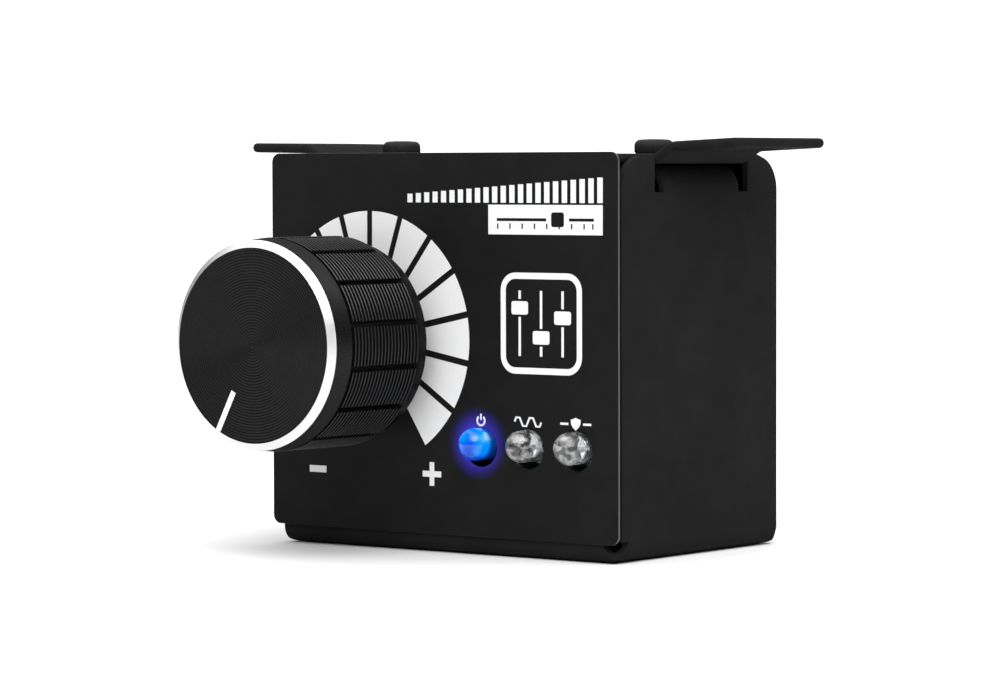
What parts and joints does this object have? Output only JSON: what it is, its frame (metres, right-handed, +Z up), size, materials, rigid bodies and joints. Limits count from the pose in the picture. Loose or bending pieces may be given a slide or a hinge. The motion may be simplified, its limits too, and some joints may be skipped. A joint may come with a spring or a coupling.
{
  "type": "remote level control box",
  "caption": "Small folded-steel remote control box with a large grooved level knob, indicator lamps, printed front plate, rear modular jack and two slotted mounting ears.",
  "frame": {"origin": "centre of the tray's flat underside", "axes": "+Z up from the underside, the front plate and the knob face -Y, +X to the right seen from the front, the ears reach along X"},
  "size_m": [0.0944, 0.0721, 0.0629],
  "materials": {
    "powder_coat": "fine-textured matt black powder coat on folded steel",
    "printed_plate": "smooth matt black screen-printed aluminium",
    "black_screw": "black-zinc pan-head screw",
    "anodised_knob": "turned and black-anodised, bright-cut chamfer",
    "white_print": "white filled pointer line",
    "black_plastic": "satin moulded black",
    "resistor_body": "glazed chip resistor",
    "plated_steel": "bright nickel or zinc plate",
    "tinned_lead": "tinned lead",
    "brass": "turned brass",
    "gold_contact": "gold-flashed spring wire",
    "phenolic": "brown phenolic wafer",
    "lit_lens": "clear epoxy, glowing blue",
    "clear_lens": "water-clear epoxy",
    "nylon": "natural nylon",
    "circuit_board": "green solder mask on glass-epoxy",
    "ribbon_sheath": "grey PVC ribbon"
  },
  "bodies": {
    "root": {"shell_tray": "powder_coat", "top_cover": "powder_coat", "front_plate": "printed_plate", "cover_screw_left": "black_screw", "cover_screw_right": "black_screw", "pot_wafer": "phenolic", "pot_housing": "plated_steel", "pot_bushing": "brass", "pot_washer": "plated_steel", "pot_nut": "plated_steel", "pot_pin_1": "tinned_lead", "pot_pin_2": "tinned_lead", "pot_pin_3": "tinned_lead", "lamp_on_lens": "lit_lens", "lamp_on_cathode": "tinned_lead", "lamp_on_anode": "tinned_lead", "lamp_on_spacer": "nylon", "lamp_clip_lens": "clear_lens", "lamp_clip_cathode": "tinned_lead", "lamp_clip_anode": "tinned_lead", "lamp_clip_spacer": "nylon", "lamp_protect_lens": "clear_lens", "lamp_protect_cathode": "tinned_lead", "lamp_protect_anode": "tinned_lead", "lamp_protect_spacer": "nylon", "control_board": "circuit_board", "chip_resistor_1": "resistor_body", "chip_resistor_2": "resistor_body", "chip_resistor_3": "resistor_body", "header_front": "nylon", "header_rear": "nylon", "ribbon_cable": "ribbon_sheath", "jack_board": "circuit_board", "jack_housing": "black_plastic", "jack_contact_1": "gold_contact", "jack_contact_2": "gold_contact", "jack_contact_3": "gold_contact", "jack_contact_4": "gold_contact", "board_standoff_left": "brass", "board_screw_left": "plated_steel", "board_standoff_right": "brass", "board_screw_right": "plated_steel"},
    "knob": {"knob_shell": "anodised_knob", "knob_pointer": "white_print", "knob_hub": "black_plastic", "pot_shaft": "plated_steel", "pot_wiper": "brass"}
  },
  "joints": [
    {"name": "knob_turn", "type": "hinge", "parent": "root", "child": "knob", "pos_m": [-0.01375, -0.035, 0.0322], "axis": [0, 1, 0], "range_deg": [0, 300]}
  ]
}
